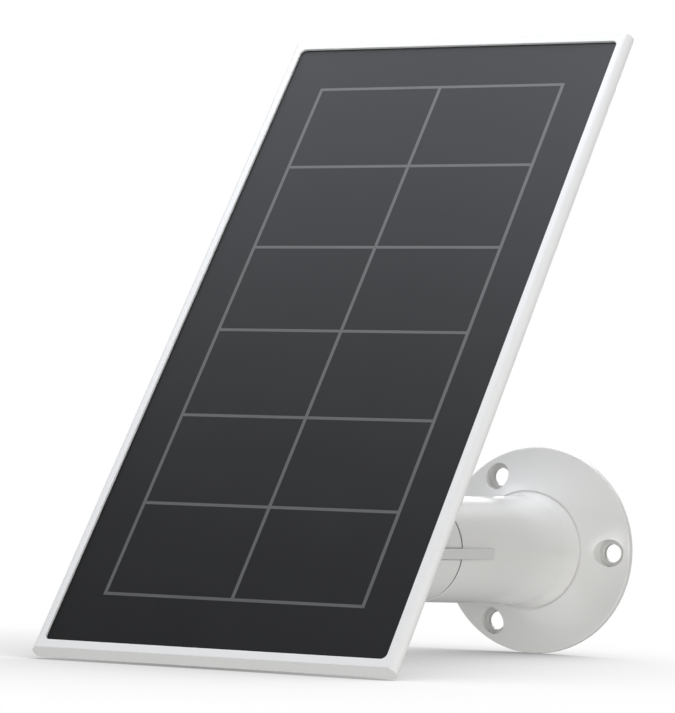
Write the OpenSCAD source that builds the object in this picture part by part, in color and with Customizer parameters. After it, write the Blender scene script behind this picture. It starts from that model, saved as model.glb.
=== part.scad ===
// Solar charging panel on a round wall mount, for an outdoor camera.
// Wall plane is Y = 0, the barrel points along -Y, Z is up, millimetres.

/* [Panel] */
// Width of the panel over its rounded sides
panel_w = 99.2; // [96:0.1:104]
// Length of the panel between its flat ends
panel_h = 200; // [196:1:206]
// Thickness of the panel edge, front lip to rear rim
panel_t = 4.2; // [4.2:0.1:5]
// How far the lip stands above the cover sheet
lip_rise = 0.5; // [0.3:0.1:0.8]
// Width of the black cover opening
window_w = 93.2; // [92:0.1:94]
// Length of the black cover opening
window_h = 194.8; // [194:0.1:196]
// Lean of the panel back from vertical, degrees
panel_lean = 36.6; // [30:0.1:45]

/* [Cells] */
// Columns of cells
cell_cols = 2; // [2:1:2]
// Rows of cells
cell_rows = 6; // [4:1:6]
// Distance between cell columns
cell_pitch_x = 35.4; // [33:0.1:36]
// Distance between cell rows
cell_pitch_y = 27.6; // [26:0.1:28]
// Width of the printed lines between and around the cells
line_w = 0.9; // [0.5:0.1:1]

/* [Rear box] */
// Width of the electronics box on the back
box_w = 56; // [54:1:60]
// Length of the electronics box on the back
box_h = 112; // [110:1:116]
// Distance of the box centre below the panel centre
box_drop = 24; // [22:1:26]
// Depth of the cover sheet in front of the box rim
box_depth = 12; // [12:0.5:13]
// Thickness of the box wall
box_wall = 2.4; // [2.2:0.1:2.6]

/* [Wall mount] */
// Diameter of the wall flange
flange_d = 56.8; // [56:0.1:60]
// Thickness of the flange at its rim
rim_t = 2.6; // [2.4:0.1:3]
// Diameter of the circle through the wall screw holes
hole_circle_d = 46; // [45:0.1:46.6]
// Diameter of the wall screw holes
hole_d = 5; // [4.5:0.1:5.2]
// Diameter of the recess for a wall screw head
recess_d = 7.4; // [7.2:0.1:7.8]
// Diameter of the swivel head and of the barrel at the swivel seam
barrel_d = 27.2; // [27:0.1:28]
// Diameter of the barrel where the flared neck begins
barrel_root_d = 29.4; // [28.6:0.1:30]
// Distance of the swivel seam from the wall
seam_reach = 73.4; // [72:0.1:75]

/* [Swivel and tilt] */
// Distance of the tilt bolt from the wall
pivot_reach = 123.2; // [121:0.1:125]
// Depth of the tilt bolt behind the cover sheet
pivot_depth = 28.5; // [28.5:0.1:29]
// Distance of the tilt bolt below the panel centre, along the panel
pivot_drop = 46.5; // [46:0.1:47]
// Gap between the barrel end and the swivel head
seam_gap = 0.8; // [0.6:0.1:1]
// Diameter of the tilt bolt and the swivel bolt
bolt_d = 5; // [5:0.1:5]

/* [Lock lever] */
// Thickness of the lever blade
lever_t = 2.8; // [2.6:0.1:3]
// How far the blade stands out of the barrel surface
lever_proud = 2.1; // [1.8:0.1:2.2]
// How far the full height of the blade passes the seam
lever_over = 4; // [3:0.5:5]
// How far the thin end of the blade passes the seam
lever_tail = 16; // [14:0.5:18]
// Height of the blade's middle from the barrel axis
lever_z = -0.6; // [-0.8:0.1:0.2]

/* [Hidden] */
$fn = 96;
eps = 0.01;
run = 0.05; // radial running clearance of a bolt or pin in its bore

// levels behind the cover sheet's front face, along the panel normal
lip_z = lip_rise;
back_z = lip_z - panel_t;
cover_z = -0.7;
film_z = -0.95;
cell_z = -1.15;
ribbon_z = -1.25;
sheet_z = -1.65;
floor_z = -3.2;
lid_z = -box_depth;
lid_t = 2;
pad_z = lid_z - lid_t;
pad_t = 3.5;
edge_r = panel_t / 2;
window_r = 1.5;

// laminate and glue line
stack_w = 88;
stack_h = 189.6;
cell_gap = 1.1;
grid_w = cell_cols * cell_pitch_x;
grid_h = cell_rows * cell_pitch_y;
ribbon_w = 2;
lead_slot_y = 24;

// electronics box
box_r = 8;
box_in_w = box_w - 2 * box_wall;
box_in_h = box_h - 2 * box_wall;
lid_screws = [for (sx = [-1, 1], k = [-1, 0, 1]) [sx * 22.9, k * 50.6 - box_drop]];
pad_screws = [for (sx = [-1, 1], sy = [-1, 1]) [sx * 12, sy * 10 - pivot_drop]];
board_w = 38;
board_h = 28;
board_y = 4;
board_t = 1.6;
board_top = -6.5;
board_screws_xy = [for (sx = [-1, 1], sy = [-1, 1]) [sx * 16, sy * 11 + board_y]];
inlet_x = 14;
inlet_z = -7.8;
inlet_r = 2;
box_end = -box_drop - box_h / 2;

// barrel, spigot and swivel
barrel_r = barrel_d / 2;
root_r = barrel_root_d / 2;
bore_r = 10.9;
neck_r = 15.9;
neck_reach = 8;
flare_reach = 15;
end_wall = 64;
nut_depth = 5;
nut_af = 8;
nut_t = 4.7;
spigot_r = 8;
spigot_end = 97;
head_back = seam_reach + seam_gap;
web_back = 98;
web_front = 101.5;
bolt_r = bolt_d / 2;

// clevis on the head
ear_r = 10;
ear_x = 12.5;
slot_x = 5.2;
slot_deep = 10.5;
tongue_x = 4.5;
tongue_r = 8.5;
seat_x = 8.3;
cap_x = 11.3;
cap_r = 5;

// lever on the side of the head
pin_x = 11.6;
pin_y = 90.5;
pin_r = 1;
hub_r = 2.3;
nose_x = 2;
nose_r = barrel_r + lever_proud - pin_x - nose_x;
lever_out = barrel_r + lever_proud;
lever_in = barrel_r + 0.35;
tail_in = lever_in + lever_tail * (root_r - barrel_r) / (seam_reach - flare_reach);
pin_low = 3.6;
pin_high = 5;
lever_slot_x = 9.1;
shoe_y0 = 87.5;
shoe_y1 = 93.5;
hole_angles = [0, 120, 240];

white = [0.93, 0.93, 0.92];
steel = [0.72, 0.73, 0.74];

// ---------- placement ----------

// children drawn in panel coordinates: x right, y up the panel, z out of the cover sheet
module on_panel() {
    translate([0, -pivot_reach, 0])
        rotate([90 - panel_lean, 0, 0])
            translate([0, pivot_drop, pivot_depth])
                children();
}

// children drawn with their z along the barrel, away from the wall
module on_barrel() {
    rotate([90, 0, 0]) children();
}

// children drawn with their z along +X through the tilt bolt
module on_tilt() {
    translate([0, -pivot_reach, 0]) rotate([0, 90, 0]) children();
}

// ---------- shared shapes ----------

module round_rect(w, h, r) {
    square([w - 2 * r, h], center = true);
    square([w, h - 2 * r], center = true);
    for (x = [-1, 1], y = [-1, 1])
        translate([x * (w / 2 - r), y * (h / 2 - r)]) circle(r);
}

// plate from z0 to z1 with corner radius r
module plate(w, h, r, z0, z1) {
    translate([0, 0, z0]) linear_extrude(z1 - z0) round_rect(w, h, r);
}

// plate whose lower outside edge is stepped back by a small bevel e
module bevel_plate(w, h, r, z0, z1, e) {
    plate(w, h, r, z0 + e, z1);
    plate(w - e, h - e, r - e / 2, z0 + e / 2, z1);
    plate(w - 2 * e, h - 2 * e, r - e, z0, z1);
}

module rod(r, z0, z1) {
    translate([0, 0, z0]) cylinder(r = r, h = z1 - z0);
}

module ring(r_out, r_in, z0, z1) {
    difference() {
        rod(r_out, z0, z1);
        rod(r_in, z0 - 1, z1 + 1);
    }
}

module hex_rod(af, z0, z1) {
    translate([0, 0, z0]) cylinder(r = af / 2 / cos(30), h = z1 - z0, $fn = 6);
}

module cross_recess(size, z0, z1) {
    translate([-size / 2, -size / 8, z0]) cube([size, size / 4, z1 - z0]);
    translate([-size / 8, -size / 2, z0]) cube([size / 4, size, z1 - z0]);
}

// countersunk screw pointing along +z, head face at z = 0
module flat_screw(head_r, shank_r, head_t, length) {
    difference() {
        union() {
            cylinder(r1 = head_r, r2 = shank_r, h = head_t);
            rod(shank_r, 0, length);
        }
        cross_recess(head_r * 1.3, -1, head_t * 0.7);
    }
}

// ---------- panel ----------

// cross section of the edge, flat faces with half-round sides
module edge_section() {
    square([panel_w - 2 * edge_r, panel_t], center = true);
    for (x = [-1, 1]) translate([x * (panel_w / 2 - edge_r), 0]) circle(edge_r);
}

// length section, small bevels on the end edges
module end_section() {
    b = 0.3;
    h = panel_h / 2;
    t = panel_t / 2;
    polygon([
        [-h, -t + b], [-h + b, -t], [h - b, -t], [h, -t + b],
        [h, t - b], [h - b, t], [-h + b, t], [-h, t - b]
    ]);
}

module panel_blank() {
    translate([0, 0, lip_z - edge_r]) intersection() {
        rotate([90, 0, 0]) linear_extrude(panel_h + 2, center = true) edge_section();
        rotate([90, 0, 90]) linear_extrude(panel_w + 2, center = true) end_section();
    }
}

module box_bosses() {
    for (p = lid_screws) translate(p) rod(3, lid_z, floor_z + eps);
    for (p = pad_screws) translate(p) rod(4.2, lid_z, floor_z + eps);
    for (p = board_screws_xy) translate(p) rod(2.4, board_top, floor_z + eps);
}

module box_holes() {
    for (p = lid_screws) translate(p) rod(1.1, lid_z - 1, lid_z + 6.5);
    for (p = pad_screws) translate(p) rod(2.8, lid_z - 1, lid_z + 7);
    for (p = board_screws_xy) translate(p) rod(0.9, board_top - 1, floor_z);
    translate([inlet_x, box_end + box_wall / 2, inlet_z]) rotate([90, 0, 0])
        cylinder(r = 3.2, h = box_wall + 2, center = true);
    translate([0, -box_drop, 0]) gasket_shape(lid_z - 1, lid_z + 0.9);
}

module gasket_shape(z0, z1) {
    difference() {
        plate(box_w - 1.4, box_h - 1.4, box_r - 0.7, z0, z1);
        plate(box_w - 3.6, box_h - 3.6, box_r - 1.8, z0 - 1, z1 + 1);
    }
}

module panel_tray() {
    color(white) on_panel() difference() {
        union() {
            difference() {
                panel_blank();
                plate(window_w, window_h, window_r, sheet_z, lip_z + 1);
                plate(panel_w - 8, panel_h - 5, window_r, back_z - 1, floor_z);
            }
            difference() {
                translate([0, -box_drop, 0]) plate(box_w, box_h, box_r, lid_z, floor_z + eps);
                translate([0, -box_drop, 0])
                    plate(box_in_w, box_in_h, box_r - box_wall, lid_z - 1, floor_z);
            }
            box_bosses();
        }
        box_holes();
        translate([0, lead_slot_y, 0]) plate(12, 3, 1.4, floor_z - 1, 0);
    }
}

module grid_lines(z0, z1, grow) {
    w = line_w + grow;
    translate([0, 0, z0]) linear_extrude(z1 - z0) {
        for (i = [0:cell_cols])
            translate([i * cell_pitch_x - grid_w / 2, 0])
                square([w, grid_h + w], center = true);
        for (i = [0:cell_rows])
            translate([0, i * cell_pitch_y - grid_h / 2])
                square([grid_w + w, w], center = true);
    }
}

module cover_sheet() {
    color([0.05, 0.05, 0.055]) on_panel() difference() {
        plate(window_w - 0.2, window_h - 0.2, window_r - 0.1, cover_z, 0);
        grid_lines(-0.2, 1, 0);
    }
}

module cell_grid_lines() {
    color([0.35, 0.35, 0.35]) on_panel() grid_lines(-0.2, eps, 0);
}

module encapsulant_film() {
    color([0.85, 0.87, 0.88]) on_panel() plate(stack_w, stack_h, 1, film_z, cover_z);
}

module solar_cells() {
    color([0.07, 0.08, 0.12]) on_panel()
        for (i = [0:cell_cols - 1], j = [0:cell_rows - 1])
            translate([(i + 0.5) * cell_pitch_x - grid_w / 2, (j + 0.5) * cell_pitch_y - grid_h / 2])
                plate(cell_pitch_x - cell_gap, cell_pitch_y - cell_gap, 0.8, cell_z, film_z);
}

// two ribbons along each column, one cross link at the top, two tails at the lead slot
module cell_ribbons() {
    color([0.8, 0.55, 0.4]) on_panel() {
        for (i = [0:cell_cols - 1], s = [-1, 1])
            translate([(i + 0.5) * cell_pitch_x - grid_w / 2 + s * 8, 0])
                plate(ribbon_w, grid_h - 6, 0.3, ribbon_z, cell_z);
        translate([0, grid_h / 2 - 4]) plate(grid_w - 18, ribbon_w, 0.3, ribbon_z, cell_z);
        for (s = [-1, 1])
            translate([s * 6.4, lead_slot_y]) plate(7.4, ribbon_w, 0.3, ribbon_z, cell_z);
    }
}

module backsheet() {
    color([0.9, 0.9, 0.9]) on_panel() difference() {
        plate(stack_w, stack_h, 1, sheet_z, ribbon_z);
        translate([0, lead_slot_y]) plate(9, 2.4, 1, sheet_z - 1, 0);
    }
}

module adhesive_bead() {
    color([0.2, 0.2, 0.2]) on_panel() difference() {
        plate(window_w - 0.6, window_h - 0.6, window_r - 0.3, sheet_z, cover_z);
        plate(stack_w + 0.6, stack_h + 0.6, 1.3, sheet_z - 1, 0);
    }
}

module rear_cover() {
    color(white) on_panel() difference() {
        translate([0, -box_drop, 0]) bevel_plate(box_w, box_h, box_r, pad_z, lid_z, 0.6);
        for (p = lid_screws) translate([p[0], p[1], pad_z]) {
            translate([0, 0, -eps]) cylinder(r1 = 2.35, r2 = 1.35, h = 1.3);
            rod(1.35, -1, 3);
        }
        for (p = pad_screws) translate(p) rod(1.7, pad_z - 1, lid_z + 1);
    }
}

module rear_cover_gasket() {
    color([0.25, 0.25, 0.26]) on_panel() translate([0, -box_drop, 0])
        gasket_shape(lid_z, lid_z + 0.9);
}

module rear_cover_screws() {
    color(steel) on_panel() for (p = lid_screws)
        translate([p[0], p[1], pad_z + 0.05]) flat_screw(2.25, 1.05, 1.25, 7.5);
}

module bracket_inserts() {
    color([0.8, 0.65, 0.3]) on_panel() for (p = pad_screws)
        translate(p) ring(2.8, 1.5, lid_z, lid_z + 6);
}

module regulator_board() {
    color([0.1, 0.35, 0.2]) on_panel() difference() {
        translate([0, board_y]) plate(board_w, board_h, 1.5, board_top - board_t, board_top);
        for (p = board_screws_xy) translate(p) rod(1.1, board_top - board_t - 1, board_top + 1);
    }
}

module chip(x, y, w, h, t) {
    translate([x, y + board_y, board_top - board_t - t / 2]) cube([w, h, t], center = true);
}

module power_inductor() {
    color([0.3, 0.3, 0.32]) on_panel() difference() {
        chip(-7, 2, 7, 7, 3);
        translate([-7, 2 + board_y, board_top - board_t - 3.5])
            difference() {
                cylinder(r = 2.9, h = 1);
                cylinder(r = 2.2, h = 3, center = true);
            }
    }
}

module board_components() {
    color([0.12, 0.12, 0.12]) on_panel() {
        chip(2.5, 2.5, 4, 4, 1);
        chip(8.5, 6, 4.4, 2.6, 1.2);
        for (k = [0:3]) chip(1 + 3 * k, -3, 1.6, 2.6, 0.9);
    }
}

module output_header() {
    color([0.92, 0.9, 0.85]) on_panel() difference() {
        chip(2, -9.5, 8, 5, 3.4);
        chip(2, -10.5, 6.4, 4.4, 2);
    }
}

// two short leads, from the ribbon tails through the slot, then along to the board
module lead(x) {
    r = 0.65;
    y0 = board_y + board_h / 2 - 3;
    low = board_top - board_t - 2.4;
    translate([x, lead_slot_y]) rod(r, low, ribbon_z);
    translate([x, lead_slot_y, low]) sphere(r);
    translate([x, lead_slot_y, low]) rotate([90, 0, 0]) cylinder(r = r, h = lead_slot_y - y0);
    translate([x, y0, low]) sphere(r);
    translate([x, y0]) rod(r, low, board_top - board_t);
}

module panel_leads() {
    color([0.6, 0.1, 0.1]) on_panel() for (x = [-3, 3]) lead(x);
}

module board_screws() {
    color(steel) on_panel() for (p = board_screws_xy)
        translate([p[0], p[1], board_top - board_t - 1.3]) difference() {
            union() {
                rod(1.9, 0, 1.3);
                rod(0.9, 1, 5);
            }
            cross_recess(2.2, -1, 0.8);
        }
}

// rubber grommet in the lower wall of the box
module cable_grommet() {
    color([0.16, 0.16, 0.17]) on_panel()
        translate([inlet_x, box_end + box_wall / 2, inlet_z]) rotate([90, 0, 0])
            difference() {
                union() {
                    cylinder(r = 3.2, h = box_wall, center = true);
                    rod(3.9, box_wall / 2, box_wall / 2 + 1.2);
                    rod(3.9, -box_wall / 2 - 1.2, -box_wall / 2);
                }
                cylinder(r = inlet_r, h = 20, center = true);
            }
}

// ---------- tilt bracket ----------

module tongue_section() {
    depth = pivot_depth + pad_z - pad_t;
    circle(tongue_r);
    polygon([
        [-tongue_r, 0], [tongue_r, 0], [tongue_r + 3.5, depth + 0.5], [-tongue_r - 3.5, depth + 0.5]
    ]);
}

module tilt_bracket() {
    color(white) on_panel() difference() {
        union() {
            translate([0, -pivot_drop, 0]) bevel_plate(34, 32, 6, pad_z - pad_t, pad_z, 0.8);
            translate([0, -pivot_drop, -pivot_depth]) rotate([90, 0, 90])
                linear_extrude(2 * tongue_x, center = true) tongue_section();
        }
        translate([0, -pivot_drop, -pivot_depth]) rotate([0, 90, 0])
            cylinder(r = bolt_r + run, h = 40, center = true);
        for (p = pad_screws) translate([p[0], p[1], pad_z - pad_t]) {
            rod(3.05, -1, 1.9);
            rod(1.7, -1, 10);
        }
    }
}

module bracket_screws() {
    color(steel) on_panel() for (p = pad_screws)
        translate([p[0], p[1], pad_z - pad_t + 0.1]) difference() {
            union() {
                rod(2.8, 0, 1.8);
                rod(1.5, 1, 10.5);
            }
            cross_recess(3.2, -1, 1.1);
        }
}

// ---------- swivel head ----------

// side view of the head, first axis away from the wall, second axis up
module head_section() {
    shoulder = pivot_reach - 6;
    translate([head_back, -barrel_r - 1]) square([shoulder - head_back, barrel_d + 2]);
    polygon([
        [shoulder - eps, -barrel_r - 1], [shoulder, -barrel_r - 1], [pivot_reach, -ear_r],
        [pivot_reach, ear_r], [shoulder, barrel_r + 1], [shoulder - eps, barrel_r + 1]
    ]);
    translate([pivot_reach, 0]) circle(ear_r);
}

module head_blank() {
    intersection() {
        rotate([90, 0, 90]) linear_extrude(barrel_d + 2, center = true)
            mirror([1, 0]) head_section();
        on_barrel() {
            translate([0, 0, head_back]) cylinder(r1 = barrel_r - 0.15, r2 = barrel_r, h = 0.15);
            rod(barrel_r, head_back + 0.15, pivot_reach + ear_r + 1);
        }
    }
}

module lever_slot(grow) {
    translate([lever_slot_x, -pin_y - 4.6, lever_z - lever_t / 2 - grow])
        cube([10, pin_y + 4.6 - seam_reach, lever_t + 2 * grow]);
}

module swivel_head() {
    color(white) difference() {
        head_blank();
        // spigot bore, bolt hole through the web, bolt head pocket
        on_barrel() {
            rod(spigot_r + 0.06, head_back - 1, web_back);
            rod(bolt_r + 0.2, web_back - 1, web_front + 1);
            rod(5.6, web_front, pivot_reach);
        }
        // clevis slot and flat ear faces
        translate([-slot_x, -pivot_reach - 20, -20]) cube([2 * slot_x, 20 + slot_deep, 40]);
        for (s = [0, 1]) mirror([s, 0, 0])
            translate([ear_x, -pivot_reach - 20, -20]) cube([5, 31, 40]);
        on_tilt() {
            rod(bolt_r + run, -20, 20);
            rod(cap_r, cap_x, 20);
            rod(4.6, seat_x, cap_x + 1);
            rod(cap_r, -20, -cap_x);
            hex_rod(nut_af + 0.1, -cap_x - 1, -cap_x + 4.2);
        }
        lever_slot(0.12);
        translate([spigot_r - 1, -shoe_y1, lever_z - 1.4])
            cube([lever_slot_x - spigot_r + 2, shoe_y1 - shoe_y0, 2.8]);
        translate([pin_x, -pin_y, lever_z - pin_low]) cylinder(r = pin_r, h = pin_low + pin_high);
    }
}

module tilt_bolt() {
    color(steel) on_tilt() difference() {
        union() {
            rod(bolt_r, -cap_x + 0.2, seat_x + 1);
            rod(4.4, seat_x, cap_x - 0.2);
        }
        hex_rod(4, cap_x - 2.4, cap_x + 1);
    }
}

module tilt_nut() {
    color(steel) on_tilt() difference() {
        hex_rod(nut_af, -cap_x + 0.1, -cap_x + 4.1);
        rod(bolt_r + 0.02, -20, 0);
    }
}

module tilt_washers() {
    color([0.3, 0.3, 0.32]) on_tilt() for (s = [0, 1]) mirror([0, 0, s])
        ring(7.5, bolt_r + run, tongue_x + 0.05, slot_x - 0.02);
}

module pivot_caps() {
    color(white) on_tilt() for (s = [0, 1]) mirror([0, 0, s]) {
        rod(cap_r - 0.05, cap_x + 0.05, ear_x);
        rod(cap_r - 0.9, ear_x - 0.1, ear_x + 0.5);
    }
}

// ---------- lock lever ----------

// plan of the lever, x out from the barrel axis, y towards the wall
module lever_plan() {
    slot_end = -seam_reach - seam_gap - 1.2;
    difference() {
        union() {
            translate([pin_x, -pin_y]) circle(hub_r);
            translate([pin_x + nose_x, -pin_y]) circle(nose_r);
            polygon([
                [pin_x - 1.7, -pin_y], [lever_out, -pin_y],
                [lever_out, -seam_reach + lever_over], [tail_in + 0.6, -seam_reach + lever_over + 0.6],
                [tail_in + 0.4, -seam_reach + lever_tail], [tail_in, -seam_reach + lever_tail],
                [lever_in, -seam_reach],
                [lever_in, slot_end + 0.6], [lever_in - 0.6, slot_end], [pin_x - 1.7, slot_end]
            ]);
        }
        translate([pin_x, -pin_y]) circle(pin_r + run);
        translate([pin_x - 3, -pin_y - 3]) square([3.5, 1.1]);
    }
}

module lock_lever() {
    color([0.9, 0.9, 0.89]) translate([0, 0, lever_z])
        linear_extrude(lever_t, center = true) lever_plan();
}

module lever_pin() {
    color(steel) translate([pin_x, -pin_y, lever_z]) rod(pin_r, -pin_low, pin_high);
}

// small block between the lever cam and the spigot
module brake_shoe() {
    color([0.35, 0.33, 0.3]) difference() {
        translate([spigot_r - 1, -shoe_y1 + 0.1, lever_z - 1.3])
            cube([pin_x - hub_r - 0.05 - spigot_r + 1, shoe_y1 - shoe_y0 - 0.2, 2.6]);
        on_barrel() rod(spigot_r + 0.12, 70, 96);
    }
}

// ---------- wall mount ----------

// profile of the flange, flared neck, barrel and spigot: radius, distance from the wall
module mount_profile() {
    r_rim = flange_d / 2;
    flare_h = flare_reach - neck_reach;
    bite = 0.01;
    flare_out = neck_r - root_r + bite;
    flare_r = (flare_h * flare_h + flare_out * flare_out) / (2 * flare_out);
    // flange with a bevelled rim and a hollow, rising face
    low = [r_rim - 0.325, rim_t - 0.075];
    high = [neck_r + 0.6, neck_reach];
    chord = norm(high - low);
    dish = 0.6;
    dish_r = (chord * chord / 4 + dish * dish) / (2 * dish);
    out = [high[1] - low[1], low[0] - high[0]] / chord;
    difference() {
        polygon([
            [0, 0], [r_rim - 0.4, 0], [r_rim, 0.4], [r_rim, rim_t - 0.5],
            [r_rim - 0.15, rim_t - 0.15], [r_rim - 0.5, rim_t],
            [r_rim - 0.5, neck_reach], [0, neck_reach]
        ]);
        translate((low + high) / 2 + out * (dish_r - dish)) circle(dish_r, $fn = 240);
    }
    // barrel, drafted from the neck to the seam, with its end edge broken
    polygon([
        [0, 0], [root_r, 0], [root_r, flare_reach], [barrel_r, seam_reach - 0.15],
        [barrel_r - 0.15, seam_reach], [0, seam_reach]
    ]);
    // neck, flaring from the barrel to the flange on one arc that starts just inside the barrel
    difference() {
        translate([0, neck_reach - eps]) square([neck_r, flare_h + eps]);
        translate([root_r - bite + flare_r, flare_reach]) circle(flare_r, $fn = 240);
    }
}

module screw_hole() {
    rod(hole_d / 2, -1, 12);
    rod(recess_d / 2, 1.4, 12);
}

module wall_mount() {
    color(white) on_barrel() difference() {
        union() {
            rotate_extrude() mount_profile();
            rod(spigot_r, seam_reach - 1, spigot_end);
        }
        for (a = hole_angles) rotate(a) translate([hole_circle_d / 2, 0]) screw_hole();
        rod(bore_r, -1, end_wall);
        hex_rod(nut_af + 0.1, end_wall - 1, end_wall + nut_depth);
        rod(bolt_r + run, end_wall, spigot_end + 1);
    }
}

module swivel_bolt() {
    color(steel) on_barrel() difference() {
        union() {
            rod(4.4, web_front + 0.95, web_front + 4);
            rod(bolt_r, end_wall - 1.5, web_front + 2);
        }
        hex_rod(4, web_front + 2, web_front + 6);
    }
}

module swivel_nut() {
    color(steel) on_barrel() difference() {
        hex_rod(nut_af, end_wall + nut_depth - nut_t - 0.05, end_wall + nut_depth - 0.05);
        rod(bolt_r + 0.02, 0, 100);
    }
}

// conical spring under the swivel bolt's head
module disc_spring() {
    color(steel) on_barrel() translate([0, 0, web_front + 0.03]) rotate_extrude()
        polygon([[bolt_r + 0.1, 0.45], [5.1, 0], [5.1, 0.45], [bolt_r + 0.1, 0.9]]);
}

module thrust_washer() {
    color([0.3, 0.3, 0.32]) on_barrel()
        ring(7.4, bolt_r + 0.1, spigot_end + 0.05, web_back - 0.05);
}

module seam_ring() {
    color([0.16, 0.16, 0.17]) on_barrel()
        ring(barrel_r - 0.2, spigot_r + 0.2, seam_reach + 0.05, head_back - 0.05);
}

panel_tray();
cover_sheet();
cell_grid_lines();
encapsulant_film();
solar_cells();
cell_ribbons();
backsheet();
adhesive_bead();
rear_cover();
rear_cover_gasket();
rear_cover_screws();
bracket_inserts();
regulator_board();
power_inductor();
board_components();
output_header();
panel_leads();
board_screws();
cable_grommet();
tilt_bracket();
bracket_screws();
swivel_head();
tilt_bolt();
tilt_nut();
tilt_washers();
pivot_caps();
lock_lever();
lever_pin();
brake_shoe();
wall_mount();
swivel_bolt();
swivel_nut();
disc_spring();
thrust_washer();
seam_ring();
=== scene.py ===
import math

import bpy
from mathutils import Euler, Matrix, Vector


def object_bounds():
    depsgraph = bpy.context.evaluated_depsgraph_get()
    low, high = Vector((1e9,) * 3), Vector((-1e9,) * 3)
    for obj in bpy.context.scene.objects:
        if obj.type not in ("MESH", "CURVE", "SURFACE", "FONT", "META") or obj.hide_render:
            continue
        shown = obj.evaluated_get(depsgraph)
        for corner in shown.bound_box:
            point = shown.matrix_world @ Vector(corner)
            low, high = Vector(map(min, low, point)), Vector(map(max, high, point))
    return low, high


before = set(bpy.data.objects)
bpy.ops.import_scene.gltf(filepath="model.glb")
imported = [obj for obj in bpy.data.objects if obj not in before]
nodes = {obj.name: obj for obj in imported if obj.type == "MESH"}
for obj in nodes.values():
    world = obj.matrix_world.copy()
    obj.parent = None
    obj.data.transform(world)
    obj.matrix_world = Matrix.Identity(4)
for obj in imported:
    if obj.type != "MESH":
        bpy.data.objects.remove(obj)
cad_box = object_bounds()

MM = 0.001
LEAN = math.radians(36.6)
PIVOT = Vector((0, -123.2, 0)) * MM
PIVOT_TO_MIDDLE = 46.5 * MM
PIVOT_TO_FACE = 28.5 * MM
PANEL_UP = Vector((0, math.sin(LEAN), math.cos(LEAN)))
PANEL_OUT = Vector((0, -math.cos(LEAN), math.sin(LEAN)))
PANEL_ORIGIN = PIVOT + PANEL_UP * PIVOT_TO_MIDDLE + PANEL_OUT * PIVOT_TO_FACE

CAMERA_AT = Vector((453.72, -947.66, 15.72)) * MM
CAMERA_TURN = Euler([math.radians(degrees) for degrees in (91.955, -2.017, 28.655)])
LENS_MM, SENSOR_MM = 191.5, 36
NEAREST, FURTHEST = 0.05, 20

# where the camera sees by reflection in the cover sheet, and the two directions across that line
SIGHT = CAMERA_TURN.to_matrix() @ Vector((0, 0, -1))
MIRRORED = SIGHT - PANEL_OUT * 2 * SIGHT.dot(PANEL_OUT)
MIRROR_UP = (PANEL_UP - MIRRORED * PANEL_UP.dot(MIRRORED)).normalized()
MIRROR_ACROSS = MIRRORED.cross(MIRROR_UP)


# ---------- camera ----------


def make_camera():
    data = bpy.data.cameras.new("camera")
    data.lens, data.sensor_width = LENS_MM, SENSOR_MM
    data.clip_start, data.clip_end = NEAREST, FURTHEST
    camera = bpy.data.objects.new("camera", data)
    camera.location = CAMERA_AT
    camera.rotation_euler = CAMERA_TURN
    bpy.context.scene.collection.objects.link(camera)
    bpy.context.scene.camera = camera


# ---------- studio ----------

SURROUND_GLOW = 0.2

COOL, NEUTRAL, WARM = (0.89, 0.92, 1.0), (1, 1, 1), (1.0, 0.94, 0.87)
# boxes mirrored in the cover sheet: name, metres up and across the sheet's reflection, width,
# height, watts
COVER_BOX_DISTANCE = 0.6
COVER_BOXES = (
    ("cover_high_right", 0.35, 0.2, 0.4, 0.5, 1.5),
    ("cover_high_left", 0.35, -0.2, 0.4, 0.5, 2.0),
    ("cover_mid_right", 0.15, 0.2, 0.4, 0.3, 1.0),
    ("cover_mid_left", 0.15, -0.2, 0.4, 0.3, 1.0),
)
# boxes round the room, aimed at the middle of the part: name, place, width, height, watts, tint
ROOM_BOX_AIM = (0, -0.1, 0.02)
ROOM_BOXES = (
    ("right_low", (1.2, -0.3, 0.12), 0.8, 0.25, 4.0, NEUTRAL),
    ("right_side", (1.2, -0.2, 0.5), 0.6, 1.0, 1.0, WARM),
    ("right_under", (1.1, -0.3, -0.35), 0.8, 0.3, 2.0, NEUTRAL),
    ("front_low", (0.45, -1.3, 0.08), 0.9, 0.2, 4.5, NEUTRAL),
    ("left_low", (-1.2, -0.6, 0.15), 0.8, 0.3, 4.5, NEUTRAL),
    ("back_high", (0.2, 1.0, 0.9), 0.9, 0.5, 3.0, NEUTRAL),
    ("from_below", (0.2, -0.3, -0.9), 1.2, 1.2, 4.5, NEUTRAL),
    ("rear_fill", (-0.3, 1.3, 0.3), 0.9, 0.5, 3.0, NEUTRAL),
)

FLOOR_HALF = 3.0
SHADOW_REACH = 0.16
SHADOW_SAMPLES = 20
# leaning the dome that lights the floor puts more of the shadow in front and on the left
FLOOR_LIT_FROM = (0.37, 0.33, 0.87)
# how open to the dome the floor is at the two ends of the ramp, and what it lets through there
FLOOR_OPEN = (0.1, 1.0)
FLOOR_CLEAR = (0.2, 1.0)


def map_range(tree, value, source, target):
    node = tree.nodes.new("ShaderNodeMapRange")
    for key, number in zip(("From Min", "From Max", "To Min", "To Max"), (*source, *target)):
        node.inputs[key].default_value = number
    tree.links.new(value, node.inputs["Value"])
    return node.outputs["Result"]


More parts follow.
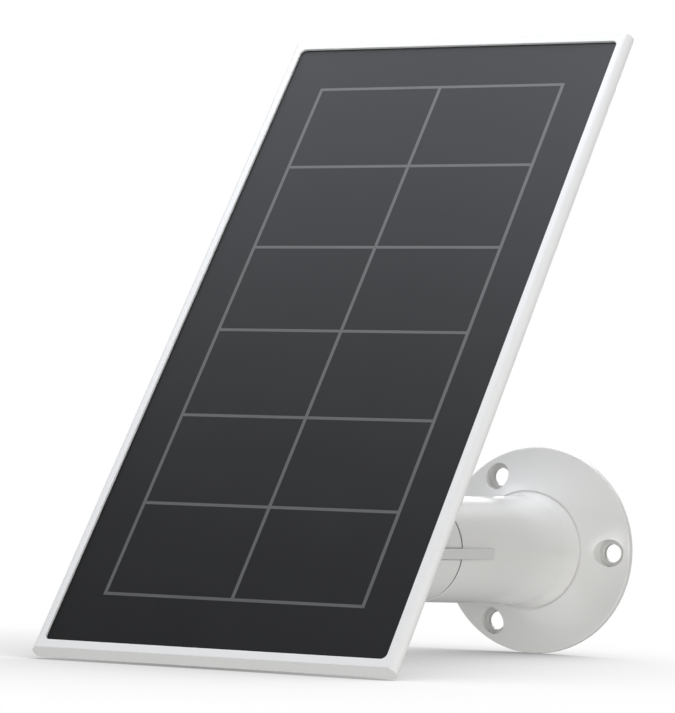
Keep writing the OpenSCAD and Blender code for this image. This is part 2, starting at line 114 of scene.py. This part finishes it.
def make_world():
    """White behind the part, with a dim white glow lighting it from all round."""
    world = bpy.data.worlds.new("studio")
    world.use_nodes = True
    tree = world.node_tree
    tree.nodes.clear()
    out = tree.nodes.new("ShaderNodeOutputWorld")
    mix = tree.nodes.new("ShaderNodeMixShader")
    path = tree.nodes.new("ShaderNodeLightPath")
    tree.links.new(path.outputs["Is Camera Ray"], mix.inputs[0])
    for slot, strength in ((1, SURROUND_GLOW), (2, 1.0)):
        background = tree.nodes.new("ShaderNodeBackground")
        background.inputs["Color"].default_value = (1, 1, 1, 1)
        background.inputs["Strength"].default_value = strength
        tree.links.new(background.outputs[0], mix.inputs[slot])
    tree.links.new(mix.outputs[0], out.inputs[0])
    bpy.context.scene.world = world


def softbox(name, at, aim, width, height, watts, tint):
    data = bpy.data.lights.new(name, "AREA")
    data.shape, data.size, data.size_y = "RECTANGLE", width, height
    data.energy, data.color = watts, tint
    light = bpy.data.objects.new(name, data)
    light.location = at
    light.rotation_mode = "QUATERNION"
    light.rotation_quaternion = (Vector(aim) - Vector(at)).to_track_quat("-Z", "Y")
    bpy.context.scene.collection.objects.link(light)


def make_lights():
    centre = PANEL_ORIGIN + MIRRORED * COVER_BOX_DISTANCE
    for name, up, across, width, height, watts in COVER_BOXES:
        at = centre + MIRROR_UP * up + MIRROR_ACROSS * across
        softbox(name, at, PANEL_ORIGIN, width, height, watts, COOL)
    for name, at, width, height, watts, tint in ROOM_BOXES:
        softbox(name, at, ROOM_BOX_AIM, width, height, watts, tint)


def floor_material():
    """Clear, and darker the more of the dome above it is hidden."""
    material = bpy.data.materials.new("floor_shadow")
    material.use_nodes = True
    tree = material.node_tree
    tree.nodes.clear()
    out = tree.nodes.new("ShaderNodeOutputMaterial")
    clear = tree.nodes.new("ShaderNodeBsdfTransparent")
    dome = tree.nodes.new("ShaderNodeAmbientOcclusion")
    dome.samples = SHADOW_SAMPLES
    dome.inputs["Distance"].default_value = SHADOW_REACH
    lean = tree.nodes.new("ShaderNodeCombineXYZ")
    for axis, number in zip("XYZ", FLOOR_LIT_FROM):
        lean.inputs[axis].default_value = number
    tree.links.new(lean.outputs[0], dome.inputs["Normal"])
    shade = map_range(tree, dome.outputs["AO"], FLOOR_OPEN, FLOOR_CLEAR)
    tree.links.new(shade, clear.inputs["Color"])
    tree.links.new(clear.outputs[0], out.inputs["Surface"])
    return material


def make_floor():
    """A floor that only carries the soft shadow of what stands on it. It's clear apart from
    that shadow, so a part that swings below its level stays in sight."""
    half, low = FLOOR_HALF, cad_box[0].z
    mesh = bpy.data.meshes.new("floor")
    mesh.from_pydata(
        [(-half, -half, low), (half, -half, low), (half, half, low), (-half, half, low)],
        [],
        [(0, 1, 2, 3)],
    )
    mesh.materials.append(floor_material())
    floor = bpy.data.objects.new("floor", mesh)
    bpy.context.scene.collection.objects.link(floor)
    floor.visible_diffuse = floor.visible_glossy = floor.visible_shadow = False


# ---------- materials ----------

# the colour sockets of a Mix node
MIX_A, MIX_B, MIX_RESULT = 6, 7, 2
# nearly all of a noise texture's values lie in this span
NOISE_SPAN = (0.3, 0.7)
# noise cells per metre, for the slow drift of colour
MOTTLE = 60.0
EDGE_SAMPLES = 4
FINGER_SCALE = 210.0
TRACK_SCALE, TRACK_WIDTH = 260.0, 0.035


class Shader:
    """A material with one principled shader, and short ways to add nodes to it."""

    def __init__(self, name):
        self.material = bpy.data.materials.new(name)
        self.material.use_nodes = True
        self.tree = self.material.node_tree
        self.bsdf = self.tree.nodes["Principled BSDF"]
        self.coords = self.add("ShaderNodeTexCoord").outputs["Object"]

    def add(self, kind, **settings):
        node = self.tree.nodes.new(kind)
        for key, value in settings.items():
            setattr(node, key, value)
        return node

    def link(self, a, b):
        self.tree.links.new(a, b)

    def stretch(self, scale):
        mapping = self.add("ShaderNodeMapping")
        mapping.inputs["Scale"].default_value = scale
        self.link(self.coords, mapping.inputs["Vector"])
        return mapping.outputs[0]

    def noise(self, scale, detail=3.0, vector=None):
        node = self.add("ShaderNodeTexNoise")
        node.inputs["Scale"].default_value = scale
        node.inputs["Detail"].default_value = detail
        self.link(vector or self.coords, node.inputs["Vector"])
        return node.outputs["Fac"]

    def between(self, value, low, high, source=NOISE_SPAN):
        return map_range(self.tree, value, source, (low, high))

    def mix(self, factor, a, b):
        """Blend two colours, each a tuple or another node's output."""
        node = self.add("ShaderNodeMix", data_type="RGBA")
        self.link(factor, node.inputs[0])
        for socket, color in ((node.inputs[MIX_A], a), (node.inputs[MIX_B], b)):
            if isinstance(color, tuple):
                socket.default_value = (*color, 1)
            else:
                self.link(color, socket)
        return node.outputs[MIX_RESULT]

    def bump(self, height, depth, after=None):
        node = self.add("ShaderNodeBump")
        node.inputs["Distance"].default_value = depth
        self.link(height, node.inputs["Height"])
        if after is not None:
            self.link(after, node.inputs["Normal"])
        self.link(node.outputs["Normal"], self.bsdf.inputs["Normal"])


def surface(
    name, color, rough, metal=0.0, shift=0.03, grain=2500.0, depth=4e-6, spec=0.5, stretch=None,
    rough_spread=0.05, edge=0.0,
):
    """Moulded, brushed or cast stuff: colour drifts slowly by `shift`, fine relief follows
    `grain`, and edges catch the light as if rounded to the radius `edge`."""
    s = Shader(name)
    vector = s.stretch(stretch) if stretch else None
    dark = tuple(c * (1 - shift) for c in color)
    light = tuple(min(1.0, c * (1 + shift)) for c in color)
    s.link(s.mix(s.between(s.noise(MOTTLE), 0, 1), dark, light), s.bsdf.inputs["Base Color"])
    fine = s.noise(grain, 2.0, vector)
    s.link(
        s.between(fine, rough - rough_spread, rough + rough_spread), s.bsdf.inputs["Roughness"]
    )
    rounded = None
    if edge:
        bevel = s.add("ShaderNodeBevel", samples=EDGE_SAMPLES)
        bevel.inputs["Radius"].default_value = edge
        rounded = bevel.outputs["Normal"]
    s.bump(fine, depth, after=rounded)
    s.bsdf.inputs["Metallic"].default_value = metal
    s.bsdf.inputs["Specular IOR Level"].default_value = spec
    return s.material


def white_moulding(name, color, rough, edge):
    """Smooth satin plastic with barely any grain."""
    return surface(
        name, color, rough, shift=0.01, grain=300.0, depth=1e-6, rough_spread=0.02, edge=edge
    )


def cell_material():
    """Dark silicon with the fine silver fingers that run across each cell."""
    s = Shader("cell_silicon")
    fingers = s.add("ShaderNodeTexWave", wave_type="BANDS", bands_direction="X")
    fingers.inputs["Scale"].default_value = FINGER_SCALE
    s.link(s.coords, fingers.inputs["Vector"])
    line = s.between(fingers.outputs["Fac"], 0, 1, (0.93, 0.99))
    crystal = s.mix(s.between(s.noise(180.0), 0, 1), (0.014, 0.018, 0.04), (0.026, 0.032, 0.07))
    s.link(s.mix(line, crystal, (0.5, 0.5, 0.52)), s.bsdf.inputs["Base Color"])
    s.link(s.between(line, 0.18, 0.4, (0, 1)), s.bsdf.inputs["Roughness"])
    s.bump(line, 1e-5)
    return s.material


def board_material():
    """Green solder mask over copper tracks that show as faint raised lines."""
    s = Shader("board_green")
    tracks = s.add("ShaderNodeTexBrick")
    tracks.inputs["Scale"].default_value = TRACK_SCALE
    tracks.inputs["Mortar Size"].default_value = TRACK_WIDTH
    s.link(s.coords, tracks.inputs["Vector"])
    line = tracks.outputs["Fac"]
    s.link(s.mix(line, (0.015, 0.12, 0.045), (0.04, 0.2, 0.08)), s.bsdf.inputs["Base Color"])
    s.link(s.between(s.noise(900.0), 0.28, 0.4), s.bsdf.inputs["Roughness"])
    s.bump(line, 3e-5)
    return s.material


def paint(material, *names):
    for name in names:
        slots = nodes[name].data.materials
        slots.clear()
        slots.append(material)


def paint_outside():
    paint(
        white_moulding("panel_shell_white", (0.84, 0.84, 0.83), 0.36, 3e-4),
        "panel_tray", "rear_cover", "tilt_bracket",
    )
    paint(
        white_moulding("mount_shell_white", (0.725, 0.722, 0.705), 0.2, 3e-4),
        "wall_mount", "swivel_head", "pivot_caps",
    )
    # the lever's white is set darker than the mount's white: painted shade for the blade's flat
    # outer face
    paint(white_moulding("lever_white_painted_shade", (0.64, 0.64, 0.63), 0.3, 2e-4), "lock_lever")
    paint(
        surface(
            "cover_black", (0.008, 0.008, 0.0081), 0.34, spec=0.25, grain=90.0, depth=2e-7,
            rough_spread=0.008,
        ),
        "cover_sheet",
    )
    paint(
        surface("printed_grid_grey", (0.085, 0.085, 0.084), 0.4, grain=600.0, depth=1e-6),
        "cell_grid_lines",
    )
    paint(
        surface("dark_rubber", (0.045, 0.045, 0.047), 0.75, depth=1.5e-5, grain=1200.0),
        "rear_cover_gasket", "cable_grommet", "seam_ring",
    )


def paint_laminate():
    paint(surface("clear_film", (0.75, 0.77, 0.78), 0.2, grain=900.0), "encapsulant_film")
    paint(cell_material(), "solar_cells")
    paint(
        surface("tinned_ribbon", (0.70, 0.52, 0.38), 0.35, 1.0, stretch=(8, 1, 1)),
        "cell_ribbons",
    )
    paint(surface("backsheet_white", (0.8, 0.8, 0.8), 0.6, depth=1e-5), "backsheet")
    paint(
        surface("black_sealant", (0.05, 0.05, 0.05), 0.5, grain=500.0, depth=3e-5),
        "adhesive_bead",
    )


def paint_hardware():
    paint(
        surface("turned_steel", (0.60, 0.60, 0.61), 0.32, 1.0, stretch=(1, 6, 6), grain=1500.0),
        "rear_cover_screws", "bracket_screws", "board_screws", "tilt_bolt", "tilt_nut",
        "lever_pin", "swivel_bolt", "swivel_nut", "disc_spring",
    )
    paint(surface("insert_brass", (0.72, 0.55, 0.26), 0.35, 1.0, depth=1e-5), "bracket_inserts")
    paint(
        surface("friction_plastic", (0.10, 0.10, 0.11), 0.5),
        "tilt_washers", "thrust_washer", "brake_shoe",
    )


def paint_electronics():
    paint(board_material(), "regulator_board")
    paint(surface("ferrite", (0.10, 0.10, 0.11), 0.6, depth=2e-5), "power_inductor")
    paint(surface("chip_epoxy", (0.03, 0.03, 0.032), 0.55, depth=1e-5), "board_components")
    paint(surface("header_nylon", (0.78, 0.73, 0.62), 0.5), "output_header")
    paint(surface("lead_red", (0.45, 0.03, 0.02), 0.45), "panel_leads")


make_camera()
make_world()
make_lights()
make_floor()
paint_outside()
paint_laminate()
paint_hardware()
paint_electronics()

bpy.context.scene.view_settings.view_transform = "Standard"
